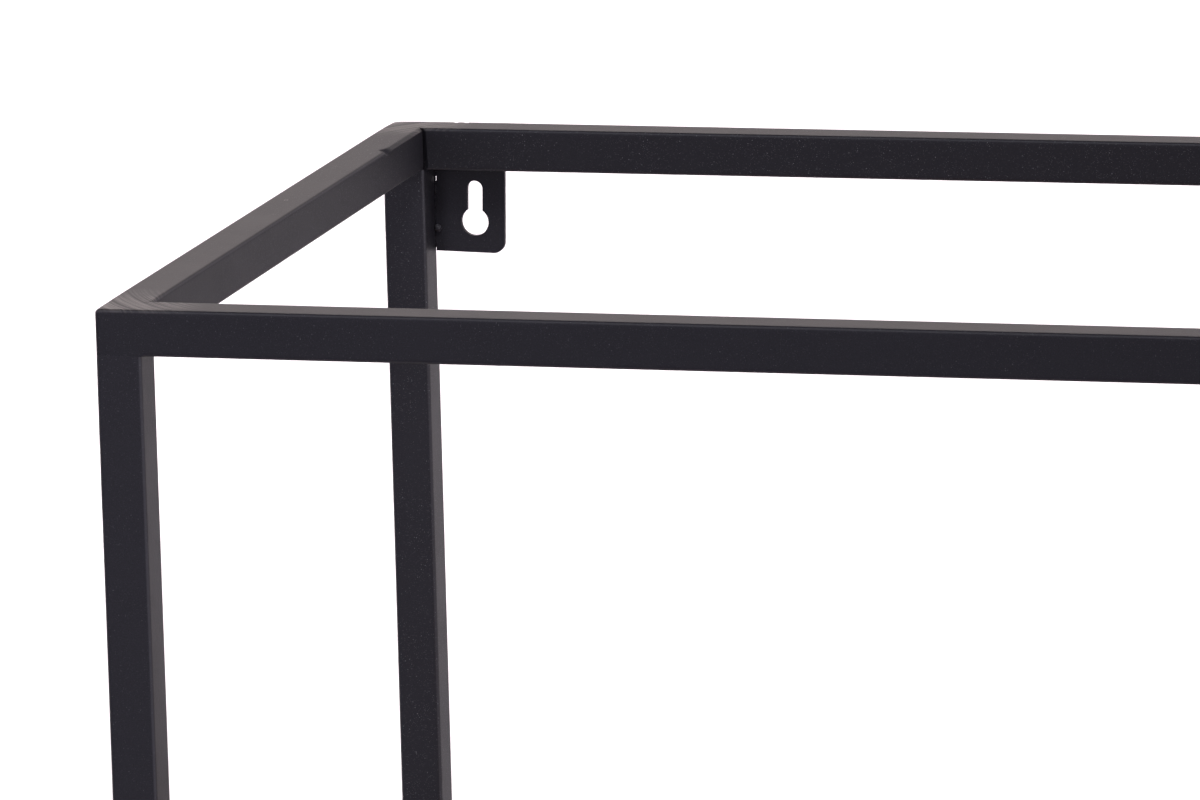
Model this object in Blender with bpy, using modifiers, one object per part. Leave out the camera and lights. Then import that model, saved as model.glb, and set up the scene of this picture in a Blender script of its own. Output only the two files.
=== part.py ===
"""Desk hutch: an open frame of welded square steel tube with one inlaid wooden shelf.

Metres, +Z up. The origin is on the desk top, under the middle of the frame. +X runs along the
width, the open front faces -Y and the wall side is +Y.
"""

import math

import bmesh
import bpy
from mathutils import Matrix, Vector

# Outside size of the frame
WIDTH = 1.000
DEPTH = 0.350
HEIGHT = 0.700

# Square tube
TUBE = 0.015
WALL = 0.0015
EDGE_RADIUS = 0.0015
EDGE_STEPS = 6
MITRE_ROOT = 0.0014  # a front or rear mitre is this short at its unwelded inner corner
FRONT_CORNER = 0.0015  # plan radius that the ring's front corners are ground to
REAR_CORNER = 0.0040  # plan radius of its rear corners

# Space between two pieces that touch
GAP = 0.0003

# Keyhole hanging plates
PLATE_WIDTH = 0.025
PLATE_HEIGHT = 0.031
PLATE_THICKNESS = 0.002
PLATE_CORNER = 0.004
KEYHOLE_X = 0.0141  # from the plate's edge at the upright
KEYHOLE_ENTRY_Z = 0.020  # below the plate's top edge
KEYHOLE_PITCH = 0.012
KEYHOLE_ENTRY_RADIUS = 0.005
KEYHOLE_SLOT_RADIUS = 0.0028
LEFT_PLATE_LEAN = math.radians(1.4)
LEFT_PLATE_SHIFT = 0.0008  # keeps the leaning plate's lower corner off the upright

# Shelf
SHELF_TOP = 0.430
BOARD = 0.015
BOARD_PLAY = 0.0015
BOARD_EDGE = 0.0008
STRAP_WIDTH = 0.025
STRAP_THICKNESS = 0.002
STRAP_INSET = 0.004
STRAP_SIDE = 0.045  # centre of an end strap from the upright's inner face
STRAP_HOLE_RADIUS = 0.0025
SCREW_Y = 0.110
PILOT_RADIUS = 0.0022
PILOT_DEPTH = 0.0115

# Pan head screw
HEAD_RADIUS = 0.004
HEAD_HEIGHT = 0.0024
SHANK_RADIUS = 0.0018
SHANK_LENGTH = 0.013
TIP_LENGTH = 0.003
SCREW_STEPS = 20
RECESS_SPAN = 0.0042
RECESS_WIDTH = 0.0009
RECESS_DEPTH = 0.0013

# Foot plug
FOOT_HEAD = 0.003
FOOT_CHAMFER = 0.0006
STEM_SIDE = 0.0108
RIB_SIDE = 0.0114
RIB_HEIGHT = 0.0012
RIB_PITCH = 0.0032
RIB_COUNT = 3
STEM_LENGTH = 0.012

X, Y, Z = Vector((1, 0, 0)), Vector((0, 1, 0)), Vector((0, 0, 1))
SIDES = {"left": -1, "right": 1}
ENDS = {"front": -1, "rear": 1}
INNER_X = WIDTH / 2 - TUBE
INNER_Y = DEPTH / 2 - TUBE
STRAP_TOP = SHELF_TOP - TUBE - GAP
STRAP_XS = {"left": STRAP_SIDE - INNER_X, "centre": 0.0, "right": INNER_X - STRAP_SIDE}


def clear_scene():
    for obj in list(bpy.data.objects):
        bpy.data.objects.remove(obj, do_unlink=True)


def new_collection(name):
    collection = bpy.data.collections.new(name)
    bpy.context.scene.collection.children.link(collection)
    return collection


def new_material(name, colour, roughness, metallic=0.0):
    material = bpy.data.materials.new(name)
    material.use_nodes = True
    shader = material.node_tree.nodes["Principled BSDF"]
    shader.inputs["Base Color"].default_value = (*colour, 1.0)
    shader.inputs["Roughness"].default_value = roughness
    shader.inputs["Metallic"].default_value = metallic
    return material


clear_scene()
HUTCH = new_collection("desk_hutch")
CUTTERS = new_collection("cutters")
POWDER_COAT = new_material("black_powder_coat", (0.018, 0.018, 0.020), 0.45)
OAK = new_material("oiled_oak", (0.48, 0.31, 0.17), 0.55)
ZINC = new_material("zinc_plated_steel", (0.62, 0.62, 0.60), 0.35, 1.0)
PLASTIC = new_material("black_plastic", (0.025, 0.025, 0.027), 0.5)


def add_part(name, data, material):
    """Puts a mesh or a curve into the hutch as a named piece."""
    piece = bpy.data.objects.new(name, data)
    data.materials.clear()
    data.materials.append(material)
    HUTCH.objects.link(piece)
    return piece


def add_cutter(name, mesh):
    cutter = bpy.data.objects.new(name, mesh)
    cutter.hide_render = True
    cutter.display_type = "WIRE"
    CUTTERS.objects.link(cutter)
    return cutter


def add_boolean(piece, operation, other):
    modifier = piece.modifiers.new(operation.lower(), "BOOLEAN")
    modifier.operation = operation
    modifier.object = other


def mesh_from(bm, name):
    """Turns a bmesh into a mesh that is smooth round its curved parts."""
    bmesh.ops.recalc_face_normals(bm, faces=bm.faces)
    mesh = bpy.data.meshes.new(name)
    bm.to_mesh(mesh)
    bm.free()
    mesh.shade_smooth()
    mesh.set_sharp_from_angle(angle=math.radians(30))
    return mesh


def realised(piece, name):
    """The mesh that a piece's modifiers make."""
    graph = bpy.context.evaluated_depsgraph_get()
    mesh = bpy.data.meshes.new_from_object(piece.evaluated_get(graph))
    mesh.name = name
    return mesh


def block(size, centre=(0, 0, 0)):
    """A bmesh that holds one box."""
    bm = bmesh.new()
    add_box(bm, size, centre)
    return bm


def add_box(bm, size, centre=(0, 0, 0)):
    place = Matrix.Translation(centre) @ Matrix.Diagonal((*size, 1.0))
    return bmesh.ops.create_cube(bm, size=1.0, matrix=place)["verts"]


def edges_along(bm, axis, verts=None):
    """The edges that run along an axis, of the given vertices or of all."""
    chosen = set(verts or bm.verts)
    return [
        edge
        for edge in bm.edges
        if chosen.issuperset(edge.verts)
        and abs((edge.verts[1].co - edge.verts[0].co).normalized().dot(axis)) > 0.99
    ]


def round_edges(bm, edges, radius, steps):
    bmesh.ops.bevel(
        bm, geom=edges, offset=radius, segments=steps, profile=0.5, affect="EDGES"
    )


def add_sleeve(bm, side, length, radius):
    """The long walls of a square bar along Z, with rounded edges and open ends."""
    verts = add_box(bm, (side, side, length))
    if radius:
        round_edges(bm, edges_along(bm, Z, verts), radius, EDGE_STEPS)
    bm.normal_update()
    caps = [face for face in bm.faces if abs(face.normal.z) > 0.9]
    bmesh.ops.delete(bm, geom=caps, context="FACES_ONLY")


def saw(bm, point, normal):
    """Cuts off what lies beyond a plane and closes the cut wall."""
    everything = bm.verts[:] + bm.edges[:] + bm.faces[:]
    cut = bmesh.ops.bisect_plane(
        bm, geom=everything, plane_co=point, plane_no=normal, clear_outer=True
    )
    rim = [item for item in cut["geom_cut"] if isinstance(item, bmesh.types.BMEdge)]
    bmesh.ops.triangle_fill(bm, edges=rim, normal=normal, use_beauty=True)


def tube(name, centre, along, outward, outer_length, inner_length=None):
    """A hollow square tube, sawn at both ends from its outer to its inner length."""
    inner_length = inner_length or outer_length
    half_outer, half_inner = outer_length / 2, inner_length / 2
    stock = outer_length + 4 * TUBE
    bm = bmesh.new()
    add_sleeve(bm, TUBE - 2 * WALL, stock, 0)
    add_sleeve(bm, TUBE, stock, EDGE_RADIUS)
    for end in (-1, 1):
        corner = Vector((TUBE / 2, 0, end * half_outer))
        saw(bm, corner, Vector((half_inner - half_outer, 0, end * TUBE)).normalized())
    piece = add_part(name, mesh_from(bm, name), POWDER_COAT)
    turn = Matrix((outward, along.cross(outward), along)).transposed()
    piece.rotation_euler = turn.to_euler()
    piece.location = centre
    return piece


def grinding_outline():
    """The plan shape that the mitred ring is ground to, as a cutter."""
    proud = 0.00002
    bm = block((WIDTH + 2 * proud, DEPTH + 2 * proud, 3 * TUBE))
    for radius, end in ((FRONT_CORNER, -1), (REAR_CORNER, 1)):
        corners = [vert for vert in bm.verts if vert.co.y * end > 0]
        round_edges(bm, edges_along(bm, Z, corners), radius, EDGE_STEPS)
    outline = add_cutter("grinding_outline", mesh_from(bm, "grinding_outline"))
    outline.location.z = HEIGHT - TUBE / 2
    return outline


def build_top_ring():
    """Four mitred rails. The mitres are welded and ground outside, and open at the inner corner."""
    saw_cut = GAP / math.sqrt(2)
    level = HEIGHT - TUBE / 2
    rails = []
    for end, sign in ENDS.items():
        centre = Vector((0, sign * (DEPTH - TUBE) / 2, level))
        inner = WIDTH - 2 * (TUBE + saw_cut + MITRE_ROOT)
        rails.append(tube(f"top_rail_{end}", centre, X, sign * Y, WIDTH - 2 * saw_cut, inner))
    for side, sign in SIDES.items():
        centre = Vector((sign * (WIDTH - TUBE) / 2, 0, level))
        outer = DEPTH - 2 * saw_cut
        rails.append(tube(f"top_rail_{side}", centre, Y, sign * X, outer, outer - 2 * TUBE))
    outline = grinding_outline()
    for rail in rails:
        add_boolean(rail, "INTERSECT", outline)


def build_uprights():
    foot, head = FOOT_HEAD + GAP, HEIGHT - TUBE - GAP
    for end, end_sign in ENDS.items():
        for side, side_sign in SIDES.items():
            x = side_sign * (WIDTH - TUBE) / 2
            y = end_sign * (DEPTH - TUBE) / 2
            centre = Vector((x, y, (foot + head) / 2))
            tube(f"upright_{end}_{side}", centre, Z, side_sign * X, head - foot)


def build_cross_rails(prefix, level, ends):
    """Rails between the uprights, with their middle at a height."""
    for end in ends:
        centre = Vector((0, ENDS[end] * (DEPTH - TUBE) / 2, level))
        tube(f"{prefix}_{end}", centre, X, ENDS[end] * Y, 2 * (INNER_X - GAP))
    for side, sign in SIDES.items():
        centre = Vector((sign * (WIDTH - TUBE) / 2, 0, level))
        tube(f"{prefix}_{side}", centre, Y, sign * X, 2 * (INNER_Y - GAP))


def arc(centre, radius, start, end, steps):
    """Points on an arc, from one angle to another, in degrees."""
    angles = [math.radians(start + (end - start) * i / steps) for i in range(steps + 1)]
    return [
        (centre[0] + radius * math.cos(a), centre[1] + radius * math.sin(a)) for a in angles
    ]


def flat_plate(name, outlines, thickness):
    """A plate cut from sheet. The first outline is its edge, the others are holes."""
    curve = bpy.data.curves.new(name, "CURVE")
    curve.dimensions = "2D"
    curve.fill_mode = "BOTH"
    curve.extrude = thickness / 2
    for outline in outlines:
        spline = curve.splines.new("POLY")
        spline.points.add(len(outline) - 1)
        for point, (x, y) in zip(spline.points, outline):
            point.co = (x, y, 0, 1)
        spline.use_cyclic_u = True
    return add_part(name, curve, POWDER_COAT)


def keyhole_outline(sign):
    """A round entry with a narrower slot above it."""
    x, entry = sign * KEYHOLE_X, -KEYHOLE_ENTRY_Z
    neck = math.degrees(math.asin(KEYHOLE_SLOT_RADIUS / KEYHOLE_ENTRY_RADIUS))
    round_entry = arc((x, entry), KEYHOLE_ENTRY_RADIUS, 90 + neck, 450 - neck, 28)
    slot_end = arc((x, entry + KEYHOLE_PITCH), KEYHOLE_SLOT_RADIUS, 0, 180, 12)
    return round_entry + slot_end


def build_hanging_plates():
    """A keyhole plate in each rear top corner, flush with the wall side."""
    for side, sign in SIDES.items():
        inward = -sign
        width, height = inward * PLATE_WIDTH, PLATE_HEIGHT
        corner = (width - inward * PLATE_CORNER, PLATE_CORNER - height)
        rounded = arc(corner, PLATE_CORNER, -90, -90 + inward * 90, 8)
        edge = [(0, 0), (0, -height), *rounded, (width, 0)]
        plate = flat_plate(
            f"hanging_plate_{side}", [edge, keyhole_outline(inward)], PLATE_THICKNESS
        )
        lean = LEFT_PLATE_LEAN if side == "left" else 0.0
        shift = LEFT_PLATE_SHIFT if side == "left" else 0.0
        plate.rotation_euler = (math.radians(90), lean, 0)
        plate.location = (
            sign * (INNER_X - GAP - shift),
            (DEPTH - PLATE_THICKNESS) / 2,
            HEIGHT - TUBE - GAP,
        )


def drill(name, places, radius, depth):
    """Round bars that point up from each place, as one cutter."""
    bm = bmesh.new()
    for place in places:
        bmesh.ops.create_cone(
            bm,
            cap_ends=True,
            segments=SCREW_STEPS,
            radius1=radius,
            radius2=radius,
            depth=2 * depth,
            matrix=Matrix.Translation(place),
        )
    return add_cutter(name, mesh_from(bm, name))


def build_shelf_board():
    length, width = 2 * (INNER_X - BOARD_PLAY), 2 * (INNER_Y - BOARD_PLAY)
    bm = block((length, width, BOARD))
    round_edges(bm, bm.edges[:], BOARD_EDGE, 3)
    board = add_part("shelf_board", mesh_from(bm, "shelf_board"), OAK)
    board.location.z = SHELF_TOP - BOARD / 2
    underside = SHELF_TOP - BOARD
    holes = [(x, y, underside) for x in STRAP_XS.values() for y in (-SCREW_Y, SCREW_Y)]
    add_boolean(board, "DIFFERENCE", drill("pilot_holes", holes, PILOT_RADIUS, PILOT_DEPTH))


def build_shelf_straps():
    """Flat bars across the underside of the shelf's ring. The board rests on them."""
    half_width, half_length = STRAP_WIDTH / 2, DEPTH / 2 - STRAP_INSET
    edge = [
        (-half_width, -half_length),
        (half_width, -half_length),
        (half_width, half_length),
        (-half_width, half_length),
    ]
    holes = [
        arc((0, y), STRAP_HOLE_RADIUS, 0, 360 - 360 / SCREW_STEPS, SCREW_STEPS - 1)
        for y in (-SCREW_Y, SCREW_Y)
    ]
    for place, x in STRAP_XS.items():
        strap = flat_plate(f"shelf_strap_{place}", [edge, *holes], STRAP_THICKNESS)
        strap.location = (x, 0, STRAP_TOP - STRAP_THICKNESS / 2)


def turned(name, profile, steps, material):
    """A profile of (radius, height) points, turned round Z."""
    mesh = bpy.data.meshes.new(name)
    bm = bmesh.new()
    verts = [bm.verts.new((radius, 0, height)) for radius, height in profile]
    for first, second in zip(verts, verts[1:]):
        bm.edges.new((first, second))
    bm.to_mesh(mesh)
    bm.free()
    piece = add_part(name, mesh, material)
    screw = piece.modifiers.new("turn", "SCREW")
    screw.steps = screw.render_steps = steps
    screw.use_merge_vertices = True
    screw.merge_threshold = 0.00001
    return piece


def cross_recess():
    arm = (RECESS_SPAN, RECESS_WIDTH, 2 * RECESS_DEPTH)
    other_arm = (RECESS_WIDTH, RECESS_SPAN, 2 * RECESS_DEPTH)
    cross = add_cutter("recess", mesh_from(block(arm), "recess"))
    crossing = add_cutter("recess_crossing", mesh_from(block(other_arm), "recess_crossing"))
    for cutter in (cross, crossing):
        cutter.location.z = -HEAD_HEIGHT
    add_boolean(cross, "UNION", crossing)
    return cross


def screw_mesh():
    """A pan head wood screw, head down, with the head's bearing face at height 0."""
    dome = [
        (HEAD_RADIUS * math.sin(math.radians(a)), -HEAD_HEIGHT * math.cos(math.radians(a)))
        for a in range(75, -1, -15)
    ]
    body = [
        (0, SHANK_LENGTH),
        (SHANK_RADIUS, SHANK_LENGTH - TIP_LENGTH),
        (SHANK_RADIUS, 0),
        (HEAD_RADIUS, 0),
    ]
    pattern = turned("screw_pattern", body + dome, SCREW_STEPS, ZINC)
    add_boolean(pattern, "DIFFERENCE", cross_recess())
    mesh = realised(pattern, "shelf_screw")
    bpy.data.objects.remove(pattern, do_unlink=True)
    return mesh


def build_shelf_screws():
    mesh = screw_mesh()
    for place, x in STRAP_XS.items():
        for end, sign in ENDS.items():
            screw = add_part(f"shelf_screw_{place}_{end}", mesh, ZINC)
            screw.location = (x, sign * SCREW_Y, STRAP_TOP - STRAP_THICKNESS - GAP)


def foot_mesh():
    """A square plug: a head under the tube's end and a ribbed stem inside the tube."""
    bm = block((TUBE, TUBE, FOOT_HEAD), (0, 0, FOOT_HEAD / 2))
    round_edges(bm, edges_along(bm, Z), EDGE_RADIUS, EDGE_STEPS)
    sole = [edge for edge in bm.edges if all(vert.co.z < FOOT_CHAMFER for vert in edge.verts)]
    round_edges(bm, sole, FOOT_CHAMFER, 1)
    plug = add_part("foot_pattern", mesh_from(bm, "foot_pattern"), PLASTIC)
    core = block((STEM_SIDE, STEM_SIDE, STEM_LENGTH), (0, 0, FOOT_HEAD + STEM_LENGTH / 2 - GAP))
    add_boolean(plug, "UNION", add_cutter("stem", mesh_from(core, "stem")))
    for i in range(RIB_COUNT):
        middle = FOOT_HEAD + (i + 1) * RIB_PITCH
        rib = block((RIB_SIDE, RIB_SIDE, RIB_HEIGHT), (0, 0, middle))
        add_boolean(plug, "UNION", add_cutter(f"rib_{i}", mesh_from(rib, f"rib_{i}")))
    mesh = realised(plug, "foot_plug")
    bpy.data.objects.remove(plug, do_unlink=True)
    return mesh


def build_foot_plugs():
    mesh = foot_mesh()
    for end, end_sign in ENDS.items():
        for side, side_sign in SIDES.items():
            plug = add_part(f"foot_plug_{end}_{side}", mesh, PLASTIC)
            plug.location = (
                side_sign * (WIDTH - TUBE) / 2,
                end_sign * (DEPTH - TUBE) / 2,
                0,
            )


build_uprights()
build_top_ring()
build_cross_rails("shelf_rail", SHELF_TOP - TUBE / 2, ENDS)
build_cross_rails("base_rail", FOOT_HEAD + GAP + TUBE / 2, ["rear"])
build_hanging_plates()
build_shelf_board()
build_shelf_straps()
build_shelf_screws()
build_foot_plugs()
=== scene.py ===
"""Looks of the desk hutch: welded tubes with ground corners, weld beads, powder coat and oak."""

import math

import bmesh
import bpy
from mathutils import Matrix, Vector, noise


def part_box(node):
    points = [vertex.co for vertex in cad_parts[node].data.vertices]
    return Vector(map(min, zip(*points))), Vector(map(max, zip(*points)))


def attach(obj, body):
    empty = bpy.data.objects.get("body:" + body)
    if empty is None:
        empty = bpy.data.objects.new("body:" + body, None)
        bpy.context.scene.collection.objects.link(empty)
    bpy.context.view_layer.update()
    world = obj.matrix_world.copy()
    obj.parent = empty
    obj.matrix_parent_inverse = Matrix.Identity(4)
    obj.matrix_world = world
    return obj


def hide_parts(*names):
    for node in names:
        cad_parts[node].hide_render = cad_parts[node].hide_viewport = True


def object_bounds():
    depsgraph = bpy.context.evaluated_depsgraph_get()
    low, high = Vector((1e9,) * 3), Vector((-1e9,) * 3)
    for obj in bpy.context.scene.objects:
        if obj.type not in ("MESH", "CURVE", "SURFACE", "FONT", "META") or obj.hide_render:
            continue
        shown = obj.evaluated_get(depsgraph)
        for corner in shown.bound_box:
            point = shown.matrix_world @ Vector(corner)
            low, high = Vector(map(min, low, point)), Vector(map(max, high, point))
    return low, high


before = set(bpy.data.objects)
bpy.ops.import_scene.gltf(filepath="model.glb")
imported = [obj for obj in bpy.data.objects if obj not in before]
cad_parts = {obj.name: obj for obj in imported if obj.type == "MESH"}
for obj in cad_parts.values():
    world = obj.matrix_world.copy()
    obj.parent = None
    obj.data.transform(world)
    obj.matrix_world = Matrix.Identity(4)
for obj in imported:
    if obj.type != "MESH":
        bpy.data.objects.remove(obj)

CAD_LOW, CAD_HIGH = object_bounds()
MM = 0.001

# Camera, seen from the top ring's front left corner
CAMERA_FROM_CORNER = Vector((0.8028, -2.4608, 0.5005))
CAMERA_YAW, CAMERA_PITCH, CAMERA_ROLL = (math.radians(a) for a in (14.546, -11.673, -1.415))
LENS_MM = 250.3

# Studio
ROOM = (0.080, 0.075, 0.104)
WALL = (3.5, 3.11, 3.06)
SIDE_WALL = (0.6, 0.57, 0.64)

# Area lights: name, place, target, size, watts, spread in degrees and colour
WARM, COOL, NEUTRAL = (1.07, 0.97, 1.02), (0.93, 0.9, 1.1), (0.97, 0.95, 1.05)
LIGHTS = (
    ("wall_light", (-0.4, 4.1, 3.0), (-0.4, 4.1, 0), (5.2, 5.2), 122, 60, WARM),
    ("front_light", (-2.5, -5.0, 1.0), (-0.9, 0, 0.6), (2.2, 1.9), 1.8, 33, COOL),
    ("fill_light", (1.5, -6.3, 1.95), (-0.73, 0, 0.64), (0.5, 0.5), 0.2, 9.6, COOL),
    ("side_light", (1.6, -0.45, 0.55), (-0.48, 0.1, 0.55), (0.9, 1.0), 7.5, 180, NEUTRAL),
    ("top_light", (0.0, -1.1, 2.6), (-0.78, 0, 0.68), (1.0, 0.7), 3.2, 60),
)

# Tubes
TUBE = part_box("top_rail_front")[1].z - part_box("top_rail_front")[0].z
EDGE = 1.3 * MM
ARC_STEPS = 6
SUPPORT = 1.0 * MM
HAIR = 0.05 * MM
SEAM_FROM_SIDE = 4.6 * MM
SEAM_DEPTH = 0.04 * MM

# Corners of the top ring: plan radius, radius of the outer top edge, and the grinder's waves
FRONT_CORNER = {"plan": 1.6 * MM, "edge": 1.5 * MM}
REAR_CORNER = {"plan": 4.2 * MM, "edge": 1.8 * MM}
GRIND_REACH = 16 * MM
WAVE_ON_TOP, WAVE_ON_SIDES = 0.10 * MM, 0.08 * MM

# Weld beads: radius, swell and the stretch from an inner corner that they cover
BEAD_RADIUS = 0.55 * MM
BEAD_SWELL = 0.3
BEAD_SPAN = (3 * MM, 12 * MM)

# Unwelded inner corner of a mitre
SLIT_DEPTH = EDGE + SUPPORT
SLIT_WIDTH = 1.3 * MM

# Flat ground along the left rail's inner top edge, from the rear inner corner, with a gouge at its end
FLAT_LENGTH = 48 * MM
FLAT_LEG = 0.9 * MM
FLAT_WIDENING = 0.8
GOUGE_AT, GOUGE_REACH, GOUGE_DEPTH = 45 * MM, 3 * MM, 0.9 * MM

X, Y, Z = Vector((1, 0, 0)), Vector((0, 1, 0)), Vector((0, 0, 1))
SIDES = {"left": -1, "right": 1}
ENDS = {"front": -1, "rear": 1}
HALF_WIDTH, HALF_DEPTH, HEIGHT = CAD_HIGH.x, CAD_HIGH.y, CAD_HIGH.z
INNER_X, INNER_Y = HALF_WIDTH - TUBE, HALF_DEPTH - TUBE
RING_BOTTOM = HEIGHT - TUBE

# Small knocks: place, reach and depth, negative for a blob of coat
KNOCKS = (
    (Vector((-HALF_WIDTH + 23.6 * MM, HALF_DEPTH - 1.4 * MM, HEIGHT)), 0.55 * MM, 0.9 * MM),
    (Vector((-HALF_WIDTH + 27.4 * MM, HALF_DEPTH - 1.4 * MM, HEIGHT)), 0.55 * MM, 0.9 * MM),
    (Vector((-HALF_WIDTH + 24.4 * MM, INNER_Y + 0.6 * MM, HEIGHT - 0.4 * MM)), 0.5 * MM, -0.15 * MM),
)


# ---------------------------------------------------------------- camera, light, floor


def add_camera():
    camera = bpy.data.objects.new("camera", bpy.data.cameras.new("camera"))
    bpy.context.scene.collection.objects.link(camera)
    bpy.context.scene.camera = camera
    camera.data.lens = LENS_MM
    camera.data.sensor_width = 36
    camera.data.clip_end = 100
    corner = Vector((CAD_LOW.x, CAD_LOW.y, CAD_HIGH.z))
    turn = (
        Matrix.Rotation(CAMERA_YAW, 4, "Z")
        @ Matrix.Rotation(math.pi / 2 + CAMERA_PITCH, 4, "X")
        @ Matrix.Rotation(CAMERA_ROLL, 4, "Z")
    )
    camera.matrix_world = Matrix.Translation(corner + CAMERA_FROM_CORNER) @ turn


def add_area_light(name, place, target, size, power, spread, colour=(1, 1, 1)):
    light = bpy.data.lights.new(name, "AREA")
    light.shape = "RECTANGLE"
    light.size, light.size_y = size
    light.energy = power
    light.spread = math.radians(spread)
    light.color = colour
    lamp = bpy.data.objects.new(name, light)
    lamp.location = place
    lamp.rotation_euler = (Vector(target) - Vector(place)).to_track_quat("-Z", "Y").to_euler()
    bpy.context.scene.collection.objects.link(lamp)


def add_world():
    """A dim room, a paler wall on the right and a bright low wall behind on the left."""
    world = bpy.data.worlds.new("studio")
    bpy.context.scene.world = world
    world.use_nodes = True
    nodes, links = world.node_tree.nodes, world.node_tree.links
    direction = nodes.new("ShaderNodeTexCoord").outputs["Generated"]

    def facing(towards, low, high):
        dot = nodes.new("ShaderNodeVectorMath")
        dot.operation = "DOT_PRODUCT"
        dot.inputs[1].default_value = towards
        links.new(direction, dot.inputs[0])
        ramp = nodes.new("ShaderNodeMapRange")
        ramp.interpolation_type = "SMOOTHSTEP"
        ramp.inputs["From Min"].default_value = low
        ramp.inputs["From Max"].default_value = high
        links.new(dot.outputs["Value"], ramp.inputs["Value"])
        return ramp.outputs["Result"]

    def blend(factor, first, second):
        mix = nodes.new("ShaderNodeMix")
        mix.data_type = "RGBA"
        links.new(factor, mix.inputs["Factor"])
        colours = [socket for socket in mix.inputs if socket.type == "RGBA"]
        for socket, colour in zip(colours, (first, second)):
            if isinstance(colour, tuple):
                socket.default_value = (*colour, 1)
            else:
                links.new(colour, socket)
        return [socket for socket in mix.outputs if socket.type == "RGBA"][0]

    room = blend(facing((0.96, -0.26, 0.05), 0.6, 1.0), ROOM, SIDE_WALL)
    low_wall = blend(facing((0, 0, -1), -0.6, -0.2), room, WALL)
    studio = blend(facing((-0.62, 0.78, -0.1), 0.3, 0.95), room, low_wall)
    links.new(studio, nodes["Background"].inputs["Color"])


def add_studio():
    add_world()
    for light in LIGHTS:
        add_area_light(*light)
    bpy.context.scene.view_settings.view_transform = "Standard"


def add_floor(material):
    bm = bmesh.new()
    bmesh.ops.create_grid(bm, x_segments=1, y_segments=1, size=40)
    floor = new_object("floor", mesh_from(bm, "floor"), material)
    floor.location.z = CAD_LOW.z - 0.2 * MM


# ---------------------------------------------------------------- pieces and sections


def mesh_from(bm, name):
    bmesh.ops.recalc_face_normals(bm, faces=bm.faces)
    mesh = bpy.data.meshes.new(name)
    bm.to_mesh(mesh)
    bm.free()
    mesh.shade_smooth()
    mesh.set_sharp_from_angle(angle=math.radians(40))
    return mesh


def new_object(name, mesh, material):
    mesh.materials.append(material)
    piece = bpy.data.objects.new(name, mesh)
    bpy.context.scene.collection.objects.link(piece)
    return piece


def add_piece(name, mesh, material):
    """A piece of the hutch, already in place in the frame."""
    piece = new_object(name, mesh, material)
    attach(piece, "root")
    return piece


def keep_flats_flat(piece):
    """Weighs the normals by area, so that a flat next to a rounded edge shades flat."""
    weighted = piece.modifiers.new("flat_shading", "WEIGHTED_NORMAL")
    weighted.weight = 100
    weighted.keep_sharp = True


def soften_edges(node, width):
    """Rounds the edges of a carried-over CAD piece, whose mesh comes in with split corners."""
    weld = node.modifiers.new("joined_corners", "WELD")
    weld.merge_threshold = 0.001 * MM
    bevel = node.modifiers.new("softened_edges", "BEVEL")
    bevel.width = width
    bevel.segments = 3
    bevel.limit_method = "ANGLE"
    bevel.angle_limit = math.radians(40)
    node.data.shade_smooth()
    keep_flats_flat(node)


def even(start, end, count):
    return [start + (end - start) * i / count for i in range(count + 1)]


def clamp(value):
    return max(0.0, min(1.0, value))


def smooth(value):
    value = clamp(value)
    return value * value * (3 - 2 * value)


def bell(value, middle, reach):
    return math.exp(-(((value - middle) / reach) ** 2))


def section(radii, flat=0.0, seam=False):
    """A tube's section as a ring of (across, up) points, each from the inner to the outer side.

    radii are those of the edges at inner bottom, inner top, outer top and outer bottom. flat
    turns the inner top edge from a round into a ground flat. seam adds the groove of the tube's
    own weld seam on the lower side.
    """
    ring = []
    for quarter, radius in enumerate(radii):
        radius = max(radius, HAIR)
        right, top = quarter in (2, 3), quarter in (1, 2)
        centre = Vector((TUBE - radius if right else radius, TUBE - radius if top else radius))
        start = math.radians(270 - 90 * quarter)
        arc = [
            centre + radius * Vector((math.cos(angle), math.sin(angle)))
            for angle in even(start, start - math.pi / 2, ARC_STEPS)
        ]
        if quarter == 1 and flat:
            arc = [
                point.lerp(arc[0].lerp(arc[-1], i / ARC_STEPS), 0.92 * flat)
                for i, point in enumerate(arc)
            ]
            arc = [Vector((a * (1 + FLAT_WIDENING * flat), u)) for a, u in arc]
        before = Vector((-math.sin(start), math.cos(start))) * SUPPORT
        after = Vector((math.cos(start), math.sin(start))) * -SUPPORT
        ring += [arc[0] + before, *arc, arc[-1] + after]
    if seam:
        middle = TUBE - SEAM_FROM_SIDE
        for across, up in ((0.5 * MM, 0), (0.15 * MM, SEAM_DEPTH), (-0.15 * MM, SEAM_DEPTH), (-0.5 * MM, 0)):
            ring.append(Vector((middle + across, up)))
    return ring


def loft(rings):
    """One closed body through rings of points."""
    bm = bmesh.new()
    loops = [[bm.verts.new(point) for point in ring] for ring in rings]
    for first, second in zip(loops, loops[1:]):
        for i in range(len(first)):
            j = (i + 1) % len(first)
            bm.faces.new((first[i], first[j], second[j], second[i]))
    bm.faces.new(loops[0])
    bm.faces.new(loops[-1])
    return bm


# ---------------------------------------------------------------- top ring

LENGTHWISE_COARSE, LENGTHWISE_FINE = 20 * MM, 0.4 * MM
FINE_ZONE = 56 * MM
MITRE_STATIONS = (0.15, 0.3, 0.45, 0.55, 0.6, 0.64, 0.68, 0.72, 0.76, 0.8, 0.84, 0.88, 0.92, 0.96, 0.98, 1.0)


def lengthwise(half):
    """Places along half a rail, from its middle, close together near the end."""
    coarse = max(1, round((half - FINE_ZONE) / LENGTHWISE_COARSE))
    fine = round(FINE_ZONE / LENGTHWISE_FINE)
    return even(0, half - FINE_ZONE, coarse)[:-1] + even(half - FINE_ZONE, half, fine)


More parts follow.
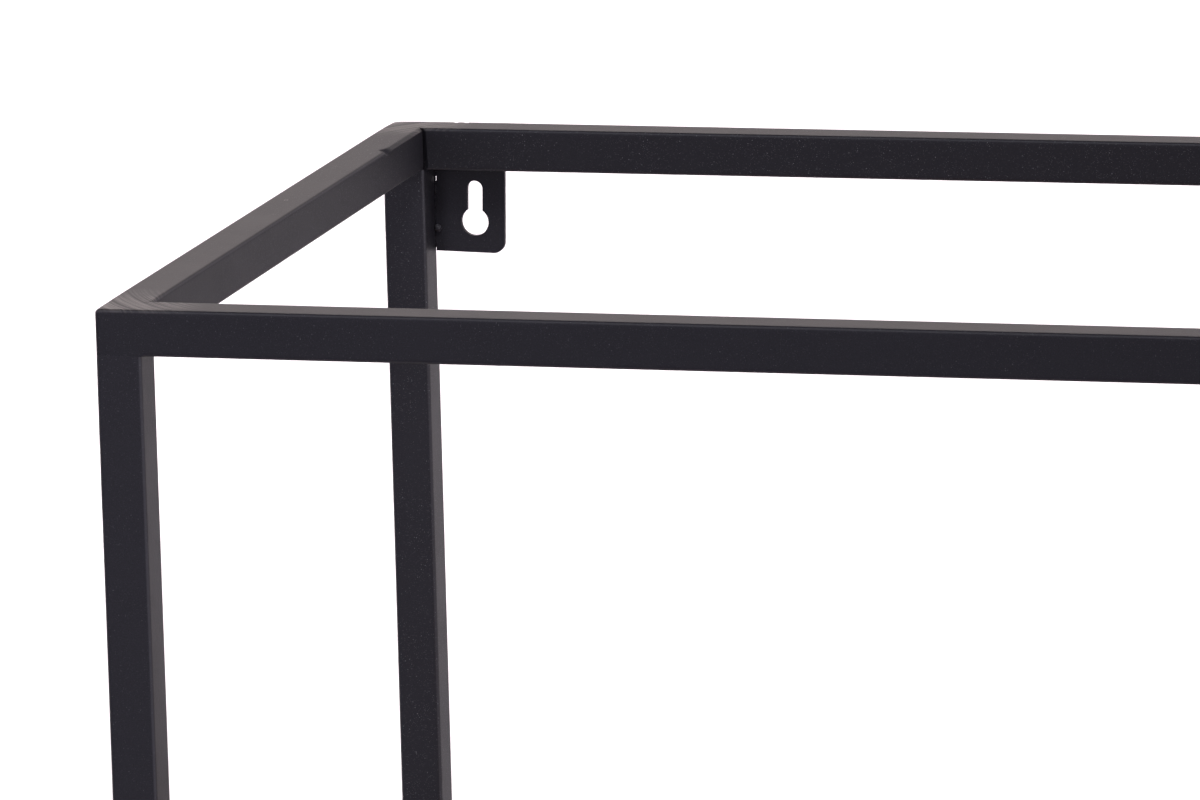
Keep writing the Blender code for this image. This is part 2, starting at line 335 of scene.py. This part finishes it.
def mitred(across, up, t, plan_radius, cut_short):
    """Where a point of the section lies at station t of a mitred end, 1 being the mitre.

    The outer corner is ground to a plan radius. Distances along count from the inner corner.
    """
    along = t * across - cut_short(across, up)
    inset = TUBE - across
    start = TUBE - plan_radius
    if across > TUBE / 2 and along > start:
        radius = max(plan_radius - inset, HAIR)
        angle = min((along - start) / radius, 1.0) * math.pi / 4
        across = start + radius * math.cos(angle)
        along = start + radius * math.sin(angle)
    return across, up, along


def no_slit(across, up):
    return 0.0


def slit(across, up):
    """How far a mitre is cut short near its inner edge. The cut leans, and is wider below."""
    return SLIT_WIDTH * (1.4 - 0.5 * up / TUBE) * clamp(1 - across / SLIT_DEPTH)


def ring_section(distance, corner):
    """Section of a top rail at a distance from the inner corner, negative inside the mitre.

    Over the upright the outer bottom edge is filled with weld and ground flush.
    """
    near = smooth(1 - (distance + TUBE) / GRIND_REACH)
    outer = EDGE + (corner["edge"] - EDGE) * near
    return section((EDGE, EDGE, outer, EDGE * clamp(distance / EDGE)))


def ground_flat_section(distance, corner):
    """As ring_section, with a flat ground along the inner top edge and a gouge where it starts."""
    near = smooth(1 - (distance + TUBE) / GRIND_REACH)
    outer = EDGE + (corner["edge"] - EDGE) * near
    flat = smooth((FLAT_LENGTH - distance) / (1.5 * MM))
    inner = EDGE + (FLAT_LEG - EDGE) * flat + GOUGE_DEPTH * bell(distance, GOUGE_AT, GOUGE_REACH) * flat
    return section((EDGE, inner, outer, EDGE * clamp(distance / EDGE)), flat)


def hand_ground(point):
    """A point of the ring after the grinder and a few knocks."""
    point = point.copy()
    for end_sign in ENDS.values():
        for side_sign in SIDES.values():
            to_corner = Vector((point.x - side_sign * HALF_WIDTH, point.y - end_sign * HALF_DEPTH))
            near = smooth(1 - to_corner.length / (2 * GRIND_REACH))
            if not near:
                continue
            high = smooth((point.z - HEIGHT + 5 * MM) / (4 * MM))
            wave = 0.5 + 0.5 * noise.noise(point * 140)
            point.z -= WAVE_ON_TOP * wave * near * high
            outward = smooth((abs(point.x) - HALF_WIDTH + 2 * MM) / (2 * MM))
            point.x -= side_sign * WAVE_ON_SIDES * wave * near * outward
            outward = smooth((abs(point.y) - HALF_DEPTH + 2 * MM) / (2 * MM))
            point.y -= end_sign * WAVE_ON_SIDES * wave * near * outward
    for place, reach, depth in KNOCKS:
        distance = (point - place).length
        if distance < 3 * reach:
            inward = -Z if depth > 0 else Vector((0, 0.6, -0.8))
            point += inward * depth * math.exp(-((distance / reach) ** 2))
    point.z = min(point.z, HEIGHT)
    return point


def top_rail_mesh(name, origin, along, outward, half_inner, ends):
    """A mitred rail. origin is the middle of its inner bottom edge.

    ends holds, for each end, the corner, the slit and the function that gives the section.
    """
    rings = []
    for sign in (-1, 1):
        corner, cut_short, section_at = ends[sign]
        half = []
        for s in lengthwise(half_inner):
            near = clamp(1 - (half_inner - s) / (2 * SLIT_DEPTH))
            ring = section_at(half_inner - s, corner)
            half.append([(a, u, s - near * cut_short(a, u)) for a, u in ring])
        for t in MITRE_STATIONS:
            points = [
                mitred(a, u, t, corner["plan"], cut_short)
                for a, u in section_at(-t * TUBE, corner)
            ]
            half.append([(a, u, half_inner + s) for a, u, s in points])
        placed = [
            [hand_ground(origin + outward * a + Z * u + along * (sign * s)) for a, u, s in ring]
            for ring in half
        ]
        rings = placed[::-1] if sign < 0 else rings + placed[1:]
    return mesh_from(loft(rings), name)


def add_top_ring(coat):
    corners = {-1: FRONT_CORNER, 1: REAR_CORNER}
    for end, sign in ENDS.items():
        origin = Vector((0, sign * INNER_Y, RING_BOTTOM))
        ends = {side: (corners[sign], slit, ring_section) for side in (-1, 1)}
        mesh = top_rail_mesh(f"top_rail_{end}_tube", origin, X, sign * Y, INNER_X, ends)
        add_tube(mesh, coat, f"top_rail_{end}")
    for side, sign in SIDES.items():
        origin = Vector((sign * INNER_X, 0, RING_BOTTOM))
        rear_section = ground_flat_section if side == "left" else ring_section
        ends = {-1: (FRONT_CORNER, no_slit, ring_section), 1: (REAR_CORNER, no_slit, rear_section)}
        mesh = top_rail_mesh(f"top_rail_{side}_tube", origin, Y, sign * X, INNER_Y, ends)
        add_tube(mesh, coat, f"top_rail_{side}")


# ---------------------------------------------------------------- uprights and cross rails


def add_tube(mesh, coat, node):
    piece = add_piece(mesh.name, mesh, coat)
    keep_flats_flat(piece)
    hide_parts(node)


def add_uprights(coat):
    """Uprights from their foot plugs to the ring. Near the top the outer edge follows its corner.

    Each shows the tube's own weld seam on the side towards the middle of the hutch's depth.
    """
    for end, end_sign in ENDS.items():
        plan = (REAR_CORNER if end == "rear" else FRONT_CORNER)["plan"]
        for side, side_sign in SIDES.items():
            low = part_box(f"upright_{end}_{side}")[0].z
            origin = Vector((side_sign * INNER_X, end_sign * INNER_Y, 0))
            zone = 60 * MM
            heights = even(low, RING_BOTTOM - zone, 24) + even(RING_BOTTOM - zone, RING_BOTTOM, 60)[1:]
            rings = []
            for z in heights:
                outer = EDGE + (plan - EDGE) * clamp(1 - (RING_BOTTOM - z) / (20 * MM)) ** 2
                rings.append([
                    hand_ground(origin + side_sign * X * a + end_sign * Y * u + Z * z)
                    for a, u in section((EDGE, EDGE, outer, EDGE), seam=True)
                ])
            mesh = mesh_from(loft(rings), f"upright_{end}_{side}_tube")
            add_tube(mesh, coat, f"upright_{end}_{side}")


def joint_fill(across):
    """How far a rail's end reaches over an upright's rounded edge, as weld metal ground flush."""
    depth = max(min(across, TUBE - across), 0.0)
    if depth >= EDGE:
        return 0.0
    return EDGE - math.sqrt(depth * (2 * EDGE - depth))


def add_cross_rail(node, coat, along, outward):
    """A rail between two uprights, its ends filled out over the uprights' rounded edges."""
    low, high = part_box(node)
    middle = (low + high) / 2
    half = INNER_X if along is X else INNER_Y
    origin = middle - outward * TUBE / 2 - Z * TUBE / 2
    stations = even(0, half - 30 * MM, 16)[:-1] + even(half - 30 * MM, half, 15)
    rings = []
    for sign in (-1, 1):
        half_rings = []
        for s in stations:
            reach = clamp(1 - (half - s) / (2 * MM))
            half_rings.append([
                origin + outward * a + Z * u + along * sign * (s + reach * joint_fill(a))
                for a, u in section((EDGE,) * 4)
            ])
        rings = half_rings[::-1] if sign < 0 else rings + half_rings[1:]
    add_tube(mesh_from(loft(rings), f"{node}_tube"), coat, node)


def add_cross_rails(coat):
    for end, sign in ENDS.items():
        add_cross_rail(f"shelf_rail_{end}", coat, X, sign * Y)
    for prefix in ("shelf_rail", "base_rail"):
        for side, sign in SIDES.items():
            add_cross_rail(f"{prefix}_{side}", coat, Y, sign * X)
    add_cross_rail("base_rail_rear", coat, X, Y)


# ---------------------------------------------------------------- welds

BEAD_SIDES = 12
RIPPLE_PITCH = 1.1 * MM


def add_bead(name, start, end, radius, coat, swell=0.0, flatten=(1, 1, 1)):
    """A weld bead between two points: rippled, thin at its ends and thicker in its middle by swell."""
    start, end = Vector(start), Vector(end)
    axis = (end - start).normalized()
    across = axis.cross(Z if abs(axis.z) < 0.9 else X).normalized()
    other = axis.cross(across)
    length = (end - start).length
    count = max(8, round(length / (0.3 * MM)))
    rings = []
    for i in range(1, count):
        t = i / count
        ends = (1 - abs(2 * t - 1) ** max(2, length / (2 * MM))) ** 0.5
        ripple = 1 + 0.10 * math.cos(2 * math.pi * t * length / RIPPLE_PITCH)
        size = radius * ends * ripple * (1 + swell * bell(t, 0.5, 0.22))
        centre = start.lerp(end, t)
        centre += 0.2 * radius * noise.noise_vector(centre * 500)
        ring = []
        for k in range(BEAD_SIDES):
            angle = 2 * math.pi * k / BEAD_SIDES
            offset = (across * math.cos(angle) + other * math.sin(angle)) * size
            ring.append(centre + Vector(o * f for o, f in zip(offset, flatten)))
        rings.append(ring)
    add_piece(name, mesh_from(loft(rings), name), coat)


def add_plate_welds(coat):
    """Welds of the keyhole plates, laid from the wall side and ground off flush there."""
    for side, sign in SIDES.items():
        low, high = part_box(f"hanging_plate_{side}")
        x = sign * INNER_X
        y = (low.y + high.y) / 2
        inward = -sign
        top = RING_BOTTOM
        root = 0.75 * MM if side == "left" else 0.45 * MM
        spans = [(-1.0, 4.8), (6.0, 30.6)] if side == "left" else [(-1.0, 30.6)]
        for i, (first, last) in enumerate(spans, start=1):
            centre = Vector((x + inward * 0.25 * MM, y, 0))
            add_bead(
                f"plate_weld_{side}_{i}",
                centre + Z * (top - first * MM),
                centre + Z * (top - last * MM),
                root,
                coat,
            )
        if side == "left":
            rim = Vector((x - inward * 0.05 * MM, high.y - 0.6 * MM, 0))
            add_bead("plate_weld_left_rim", rim + Z * top, rim + Z * (top - 12 * MM), 0.45 * MM, coat)
        add_bead(
            f"plate_weld_{side}_top",
            (x + inward * 4 * MM, low.y - 0.1 * MM, top - 0.1 * MM),
            (x + inward * 24 * MM, low.y - 0.1 * MM, top - 0.2 * MM),
            0.75 * MM,
            coat,
            swell=0.7,
        )
        add_bead(
            f"plate_weld_{side}_drop",
            (x + inward * 0.9 * MM, low.y - 0.4 * MM, top - 21.4 * MM),
            (x + inward * 1.7 * MM, low.y - 0.7 * MM, top - 24.8 * MM),
            0.95 * MM,
            coat,
            swell=0.5,
        )


def add_corner_beads(name, corner, side_sign, end_sign, coat):
    """The two short beads left in the corner between an upright and a rail's under or upper side."""
    x, y, z = corner
    near, far = BEAD_SPAN
    for bead, start, stop in (
        (f"{name}_x", (x, y + end_sign * near, z), (x, y + end_sign * far, z)),
        (f"{name}_y", (x + side_sign * near, y, z), (x + side_sign * far, y, z)),
    ):
        add_bead(bead, start, stop, BEAD_RADIUS, coat, BEAD_SWELL)


def add_rail_welds(coat):
    """Beads under each rail where it meets an upright."""
    shelf_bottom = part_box("shelf_rail_front")[0].z
    for end, end_sign in ENDS.items():
        for side, side_sign in SIDES.items():
            corner = (side_sign * INNER_X, end_sign * INNER_Y)
            for place, level in (("ring", RING_BOTTOM), ("shelf", shelf_bottom)):
                name = f"{place}_weld_{end}_{side}"
                add_corner_beads(name, (*corner, level), side_sign, end_sign, coat)
    base_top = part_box("base_rail_rear")[1].z
    for side, side_sign in SIDES.items():
        corner = (side_sign * INNER_X, INNER_Y, base_top)
        add_corner_beads(f"base_weld_rear_{side}", corner, side_sign, ENDS["rear"], coat)
        y = -INNER_Y
        add_bead(
            f"base_weld_front_{side}",
            (side_sign * (INNER_X + BEAD_SPAN[0]), y, base_top),
            (side_sign * (INNER_X + BEAD_SPAN[1]), y, base_top),
            BEAD_RADIUS,
            coat,
            BEAD_SWELL,
        )


def add_strap_welds(coat):
    """Beads along the short sides of the shelf's straps, on the rails' undersides."""
    for place in ("left", "centre", "right"):
        low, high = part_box(f"shelf_strap_{place}")
        for end, sign in ENDS.items():
            for edge, x in (("a", low.x), ("b", high.x)):
                add_bead(
                    f"strap_weld_{place}_{end}_{edge}",
                    (x, sign * (INNER_Y + 1.5 * MM), high.z - 0.5 * MM),
                    (x, sign * (INNER_Y + 9 * MM), high.z - 0.5 * MM),
                    0.9 * MM,
                    coat,
                    0.3,
                )


# ---------------------------------------------------------------- materials


class Nodes:
    """Short names for adding and joining the nodes of a material."""

    def __init__(self, name):
        self.material = bpy.data.materials.new(name)
        self.material.use_nodes = True
        self.tree = self.material.node_tree
        self.shader = self.tree.nodes["Principled BSDF"]
        self.place = self.add("ShaderNodeTexCoord").outputs["Object"]

    def add(self, kind, **settings):
        node = self.tree.nodes.new(kind)
        for name, value in settings.items():
            setattr(node, name, value)
        return node

    def put(self, socket, value):
        if isinstance(value, bpy.types.NodeSocket):
            self.tree.links.new(value, socket)
        else:
            socket.default_value = value

    def shade(self, **values):
        for name, value in values.items():
            self.put(self.shader.inputs[name.replace("_", " ")], value)

    def maths(self, operation, first, second=0.0, third=0.0, clamp=False):
        node = self.add("ShaderNodeMath", operation=operation, use_clamp=clamp)
        for socket, value in zip(node.inputs, (first, second, third)):
            self.put(socket, value)
        return node.outputs[0]

    def vector(self, operation, first, second=(0, 0, 0)):
        node = self.add("ShaderNodeVectorMath", operation=operation)
        self.put(node.inputs[0], first)
        self.put(node.inputs[1], second)
        return node.outputs["Value" if operation in ("LENGTH", "DISTANCE", "DOT_PRODUCT") else "Vector"]

    def remap(self, value, low, high, to_low=0.0, to_high=1.0):
        node = self.add("ShaderNodeMapRange", interpolation_type="SMOOTHSTEP")
        for name, number in (
            ("Value", value), ("From Min", low), ("From Max", high), ("To Min", to_low), ("To Max", to_high)
        ):
            self.put(node.inputs[name], number)
        return node.outputs["Result"]

    def noise(self, place, scale, detail=2.0, roughness=0.5):
        node = self.add("ShaderNodeTexNoise")
        for name, value in (
            ("Vector", place), ("Scale", scale), ("Detail", detail), ("Roughness", roughness)
        ):
            self.put(node.inputs[name], value)
        return node.outputs["Fac"]

    def cells(self, place, scale):
        """Distance to the nearest of scattered points, and a random colour for each."""
        node = self.add("ShaderNodeTexVoronoi")
        self.put(node.inputs["Vector"], place)
        self.put(node.inputs["Scale"], scale)
        return node.outputs["Distance"], node.outputs["Color"]

    def blend(self, factor, first, second):
        node = self.add("ShaderNodeMix", data_type="RGBA")
        colours = [socket for socket in node.inputs if socket.type == "RGBA"]
        self.put(node.inputs["Factor"], factor)
        for socket, value in zip(colours, (first, second)):
            self.put(socket, value if isinstance(value, bpy.types.NodeSocket) else (*value, 1))
        return [socket for socket in node.outputs if socket.type == "RGBA"][0]

    def ramp(self, factor, stops):
        node = self.add("ShaderNodeValToRGB")
        elements = node.color_ramp.elements
        while len(elements) < len(stops):
            elements.new(0.5)
        for element, (position, colour) in zip(elements, stops):
            element.position = position
            element.color = (*colour, 1)
        self.put(node.inputs["Fac"], factor)
        return node.outputs["Color"]

    def bump(self, height, distance, strength=1.0, under=None):
        node = self.add("ShaderNodeBump")
        self.put(node.inputs["Height"], height)
        self.put(node.inputs["Distance"], distance)
        self.put(node.inputs["Strength"], strength)
        if under is not None:
            self.put(node.inputs["Normal"], under)
        return node.outputs["Normal"]


# Specks of dust: cells per metre, share of cells with one, largest radius in cells, how much it shows
DUST = ((2600, 0.50, 0.36, 0.16), (1300, 0.20, 0.22, 0.35), (330, 0.06, 0.065, 0.5))

# Pale ring left by a drop on top of the left rail
SPOT_PLACE = (-HALF_WIDTH + 6.62 * MM, 17.92 * MM, HEIGHT)
SPOT_RADIUS = 0.62 * MM

# Radii of the softened edges on carried-over CAD pieces, by material
EDGE_SOFTENING = {"oiled_oak": 0.8 * MM, "zinc_plate": 0.12 * MM, "black_polyethylene": 0.35 * MM}

# Oak board
STAVE_WIDTH, STAVE_LENGTH = 40 * MM, 420 * MM
RING_PITCH = 2.6 * MM
JOINT = 0.18 * MM

# Powder coat: noise scales per metre, colours, and the painted highlight on the long rounded edges: its
# paler tone and how far the edges take it
GRAIN_SCALE, PEEL_SCALE, CLOUD_SCALE = 2400, 700, 45
COAT_DARK, COAT_LIGHT = (0.0030, 0.0026, 0.0055), (0.0150, 0.0138, 0.0215)
EDGE_HIGHLIGHT_TONE = (0.06, 0.058, 0.068)
EDGE_HIGHLIGHT_SHARE = 0.55

# Grinder's marks on the ring's corners: full to one distance, gone at the next, with a ragged border.
# The streaks run round a point on the inner side of each corner.
MARKS_FULL, MARKS_END, MARKS_RAGGED = 26 * MM, 48 * MM, 24 * MM
STREAK_CENTRE = (HALF_WIDTH - 70 * MM, HALF_DEPTH - 60 * MM, 0)
STREAKS_PER_METRE = 1800


def powder_coat(name, roughness, dust=1.0, upright=False):
    """Satin black coat with a fine grain, dust specks, and grinder marks that show through.

    dust scales the specks. upright lets vertical edges take the painted edge highlight too.
    """
    coat = Nodes(name)
    grain = coat.noise(coat.place, GRAIN_SCALE, 2.0, 0.6)
    peel = coat.noise(coat.place, PEEL_SCALE, 2.0)
    clouds = coat.noise(coat.place, CLOUD_SCALE, 3.0)

    # Welded and ground corners of the ring
    mirrored = coat.vector("ABSOLUTE", coat.place)
    corner = (HALF_WIDTH, HALF_DEPTH, HEIGHT)
    from_corner = coat.vector("DISTANCE", mirrored, corner)
    ragged = coat.maths("MULTIPLY_ADD", clouds, MARKS_RAGGED, from_corner)
    ground = coat.remap(ragged, MARKS_FULL, MARKS_END, 1.0, 0.0)
    split = coat.add("ShaderNodeSeparateXYZ")
    coat.put(split.inputs["Vector"], coat.place)
    on_top = coat.remap(split.outputs["Z"], HEIGHT - 1.2 * MM, HEIGHT - 0.6 * MM)
    ground = coat.maths("MULTIPLY", ground, on_top)
    reach = coat.vector("SUBTRACT", mirrored, STREAK_CENTRE)
    flattened = coat.vector("MULTIPLY", reach, (1, 1, 0))
    radius = coat.vector("LENGTH", flattened)
    stretched = coat.vector("MULTIPLY", coat.place, (60, 60, 60))
    streak_place = coat.add("ShaderNodeCombineXYZ")
    coat.put(streak_place.inputs["X"], coat.maths("MULTIPLY", radius, STREAKS_PER_METRE))
    coat.put(streak_place.inputs["Y"], coat.noise(stretched, 1.0))
    coat.put(streak_place.inputs["Z"], coat.noise(coat.place, 30))
    streaks = coat.noise(streak_place.outputs[0], 1.0, 3.0)

    # Dust under the coat, fine everywhere and a few larger specks
    specks = 0.0
    for scale, chance, largest, strength in DUST:
        nearest, random = coat.cells(coat.place, scale)
        chosen = coat.add("ShaderNodeSeparateColor")
        coat.put(chosen.inputs["Color"], random)
        size = coat.remap(chosen.outputs["Red"], 1 - chance, 1.0, 0.0, largest)
        speck = coat.maths("LESS_THAN", nearest, size)
        specks = coat.maths("MULTIPLY_ADD", speck, strength, specks)
    patchy = coat.remap(clouds, 0.3, 0.6, 0.35 * dust, dust)
    specks = coat.maths("MULTIPLY", specks, patchy, clamp=True)
    rearward = coat.remap(split.outputs["Y"], -HALF_DEPTH, HALF_DEPTH, 0.4, 1.0)
    specks = coat.maths("MULTIPLY", specks, rearward)

    # Painted highlight: the long rounded edges are blended towards a paler tone that stands in for the light
    # they catch, except where they turn to the top
    turned = coat.add("ShaderNodeSeparateXYZ")
    facing = coat.add("ShaderNodeTexCoord").outputs["Normal"]
    coat.put(turned.inputs["Vector"], coat.vector("ABSOLUTE", facing))
    squarest = coat.maths("MAXIMUM", turned.outputs["X"], turned.outputs["Y"])
    squarest = coat.maths("MAXIMUM", squarest, turned.outputs["Z"])
    edge = coat.remap(squarest, 0.84, 0.975, 1.0, 0.0)
    off_top = coat.remap(turned.outputs["Z"], 0.70, 0.85, 1.0, 0.0)
    edge = coat.maths("MULTIPLY", edge, off_top)
    if not upright:
        # A rail's upright edges are its joints, which get no painted highlight and stay dark
        off_joints = coat.remap(turned.outputs["Z"], 0.10, 0.25)
        edge = coat.maths("MULTIPLY", edge, off_joints)

    tone = coat.ramp(grain, [(0.3, COAT_DARK), (0.7, COAT_LIGHT)])
    bare = coat.maths("MULTIPLY", ground, coat.remap(streaks, 0.35, 0.65, 0.3, 1.0))
    tone = coat.blend(bare, tone, (0.085, 0.075, 0.072))
    # Painted highlight on the rounded edges, in place of the light that the roundings catch
    tone = coat.blend(coat.maths("MULTIPLY", edge, EDGE_HIGHLIGHT_SHARE), tone, EDGE_HIGHLIGHT_TONE)
    spot = coat.vector("DISTANCE", coat.place, SPOT_PLACE)
    spot = coat.maths("COMPARE", spot, SPOT_RADIUS, 0.16 * MM)
    tone = coat.blend(coat.maths("MULTIPLY", spot, 0.6), tone, (0.22, 0.20, 0.19))
    tone = coat.blend(specks, tone, (0.42, 0.42, 0.45))
    rough = coat.remap(clouds, 0.3, 0.7, roughness - 0.012, roughness + 0.012)
    rough = coat.maths("MULTIPLY_ADD", coat.maths("SUBTRACT", grain, 0.5), 0.18, rough)
    brushed = coat.maths("MULTIPLY", ground, coat.remap(streaks, 0.3, 0.7, 0.06, -0.16))
    rough = coat.maths("ADD", brushed, rough, clamp=True)
    height = coat.maths("ADD", coat.maths("MULTIPLY", grain, 0.5), peel)
    height = coat.maths("MULTIPLY_ADD", specks, 0.6, height)
    normal = coat.bump(height, 0.05 * MM, 1.0)
    normal = coat.bump(coat.maths("MULTIPLY", streaks, ground), 0.25 * MM, 1.0, normal)
    coat.shade(Base_Color=tone, Roughness=rough, Normal=normal, Coat_Weight=0.04, Coat_Roughness=0.32)
    return coat.material


def oiled_oak():
    """Staves glued side by side along X, each with its own tone, rings, pores and rays."""
    oak = Nodes("oiled_oak")
    split = oak.add("ShaderNodeSeparateXYZ")
    oak.put(split.inputs["Vector"], oak.place)
    along, across, _ = split.outputs

    # Staves in rows across the board, with end joints that differ from row to row
    row = oak.maths("FLOOR", oak.maths("DIVIDE", across, STAVE_WIDTH))
    row_part = oak.maths("FRACT", oak.maths("DIVIDE", across, STAVE_WIDTH))
    row_random = oak.add("ShaderNodeTexWhiteNoise", noise_dimensions="1D")
    oak.put(row_random.inputs["W"], row)
    run = oak.maths("ADD", oak.maths("DIVIDE", along, STAVE_LENGTH), row_random.outputs["Value"])
    number = oak.maths("FLOOR", run)
    run_part = oak.maths("FRACT", run)
    key = oak.add("ShaderNodeCombineXYZ")
    oak.put(key.inputs["X"], row)
    oak.put(key.inputs["Y"], number)
    stave = oak.add("ShaderNodeTexWhiteNoise", noise_dimensions="3D")
    oak.put(stave.inputs["Vector"], key.outputs[0])
    shifts = oak.vector("MULTIPLY", stave.outputs["Color"], (3.0, 0.4, 0.2))

    # Growth rings: the distance from a wandering heart that lies off the stave
    place = oak.vector("ADD", oak.place, shifts)
    slow = oak.vector("MULTIPLY", place, (1.6, 14, 14))
    wander = oak.noise(slow, 1.0, 2.0)
    section_place = oak.vector("MULTIPLY", place, (0.03, 1.0, 1.0))
    from_heart = oak.vector("LENGTH", oak.vector("ADD", section_place, (0, -0.18, 0.035)))
    rings = oak.maths("MULTIPLY_ADD", wander, 0.018, from_heart)
    ring_part = oak.maths("FRACT", oak.maths("DIVIDE", rings, RING_PITCH))
    early = oak.remap(ring_part, 0.0, 0.55, 1.0, 0.0)

    # Fibres, pores that crowd in the early wood, and pale rays
    fibre = oak.noise(oak.vector("MULTIPLY", place, (22, 900, 900)), 1.0, 3.0, 0.6)
    pore_cells, _ = oak.cells(oak.vector("MULTIPLY", place, (0.09, 1.0, 1.0)), 1500)
    pore = oak.remap(pore_cells, 0.16, 0.34, 1.0, 0.0)
    pore = oak.maths("MULTIPLY", pore, oak.maths("MULTIPLY_ADD", early, 0.8, 0.12))
    ray_noise = oak.noise(oak.vector("MULTIPLY", place, (60, 220, 420)), 1.0, 1.0)
    ray = oak.remap(ray_noise, 0.66, 0.72)

    tone = oak.ramp(stave.outputs["Value"], [
        (0.0, (0.36, 0.215, 0.105)),
        (0.35, (0.43, 0.27, 0.14)),
        (0.7, (0.50, 0.325, 0.175)),
        (1.0, (0.455, 0.275, 0.14)),
    ])
    tone = oak.blend(oak.maths("MULTIPLY", early, 0.6), tone, (0.30, 0.165, 0.075))
    tone = oak.blend(oak.remap(fibre, 0.35, 0.75, 0.0, 0.35), tone, (0.56, 0.38, 0.21))
    tone = oak.blend(oak.maths("MULTIPLY", ray, 0.3), tone, (0.60, 0.42, 0.24))
    tone = oak.blend(oak.maths("MULTIPLY", pore, 0.7), tone, (0.12, 0.062, 0.028))

    # Glue joints
    side_joint = oak.maths("COMPARE", row_part, 0.0, JOINT / STAVE_WIDTH)
    end_joint = oak.maths("COMPARE", run_part, 0.0, JOINT / STAVE_LENGTH)
    joint = oak.maths("MAXIMUM", side_joint, end_joint)
    tone = oak.blend(oak.maths("MULTIPLY", joint, 0.75), tone, (0.10, 0.055, 0.03))

    rough = oak.remap(fibre, 0.3, 0.7, 0.46, 0.58)
    rough = oak.maths("MULTIPLY_ADD", pore, 0.25, rough, clamp=True)
    height = oak.maths("MULTIPLY_ADD", pore, -1.0, oak.maths("MULTIPLY", fibre, 0.4))
    height = oak.maths("MULTIPLY_ADD", joint, -1.2, height)
    normal = oak.bump(height, 0.12 * MM, 0.7)
    oak.shade(Base_Color=tone, Roughness=rough, Normal=normal)
    return oak.material


def zinc_plate():
    """Bright zinc with the fine turning marks of a screw head and a faint blue and yellow cast."""
    zinc = Nodes("zinc_plate")
    cloud = zinc.noise(zinc.place, 260, 3.0)
    fine = zinc.noise(zinc.vector("MULTIPLY", zinc.place, (1.0, 1.0, 5.0)), 3000, 2.0)
    tone = zinc.ramp(cloud, [
        (0.3, (0.50, 0.52, 0.56)),
        (0.55, (0.62, 0.62, 0.60)),
        (0.75, (0.66, 0.63, 0.54)),
    ])
    tone = zinc.blend(zinc.remap(fine, 0.55, 0.8, 0.0, 0.3), tone, (0.34, 0.34, 0.34))
    rough = zinc.remap(fine, 0.25, 0.75, 0.24, 0.46)
    normal = zinc.bump(fine, 0.02 * MM, 0.5)
    zinc.shade(Base_Color=tone, Roughness=rough, Metallic=1.0, Normal=normal)
    return zinc.material


def black_polyethylene():
    """Moulded plastic with a fine spark-eroded grain, rubbed paler where it has slid on desks."""
    plastic = Nodes("black_polyethylene")
    grain = plastic.noise(plastic.place, 2600, 2.0, 0.6)
    cloud = plastic.noise(plastic.place, 160, 3.0)
    rubbed = plastic.noise(plastic.vector("MULTIPLY", plastic.place, (300, 2200, 1)), 1.0, 2.0)
    split = plastic.add("ShaderNodeSeparateXYZ")
    plastic.put(split.inputs["Vector"], plastic.place)
    underside = plastic.remap(split.outputs["Z"], 0.1 * MM, 0.5 * MM, 1.0, 0.0)
    wear = plastic.maths("MULTIPLY", plastic.remap(rubbed, 0.5, 0.62), underside)
    tone = plastic.ramp(grain, [(0.3, (0.014, 0.014, 0.015)), (0.7, (0.028, 0.028, 0.030))])
    tone = plastic.blend(plastic.maths("MULTIPLY", wear, 0.6), tone, (0.075, 0.075, 0.078))
    rough = plastic.remap(cloud, 0.3, 0.7, 0.44, 0.58)
    height = plastic.maths("MULTIPLY_ADD", wear, -0.5, grain)
    plastic.shade(Base_Color=tone, Roughness=rough, Normal=plastic.bump(height, 0.04 * MM, 0.7))
    return plastic.material


def studio_floor():
    """Matt white background board with a barely visible tooth."""
    board = Nodes("studio_floor")
    cloud = board.noise(board.place, 1.5, 2.0)
    tooth = board.noise(board.place, 900, 2.0)
    tone = board.ramp(cloud, [(0.3, (0.885, 0.885, 0.885)), (0.7, (0.915, 0.915, 0.915))])
    rough = board.remap(tooth, 0.3, 0.7, 0.86, 0.94)
    board.shade(Base_Color=tone, Roughness=rough, Normal=board.bump(tooth, 0.05 * MM, 0.3))
    return board.material


# ---------------------------------------------------------------- the scene

add_camera()
add_studio()
COAT = powder_coat("black_powder_coat", 0.67)
# The uprights' copy of the coat also paints the edge highlight on their vertical edges
UPRIGHT_COAT = powder_coat("black_powder_coat_uprights", 0.57, upright=True)
PLATE_COAT = powder_coat("black_powder_coat_plates", 0.68, 0.3)
OAK = oiled_oak()
ZINC = zinc_plate()
PLASTIC = black_polyethylene()
add_floor(studio_floor())
add_top_ring(COAT)
add_uprights(UPRIGHT_COAT)
add_cross_rails(COAT)
add_plate_welds(COAT)
add_rail_welds(COAT)
add_strap_welds(COAT)
DRESS = {"hanging_plate": PLATE_COAT, "shelf_board": OAK, "shelf_screw": ZINC, "foot_plug": PLASTIC}
for node_name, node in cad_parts.items():
    material = next((DRESS[start] for start in DRESS if node_name.startswith(start)), COAT)
    node.data.materials.clear()
    node.data.materials.append(material)
    soften_edges(node, EDGE_SOFTENING.get(material.name, 0.2 * MM))
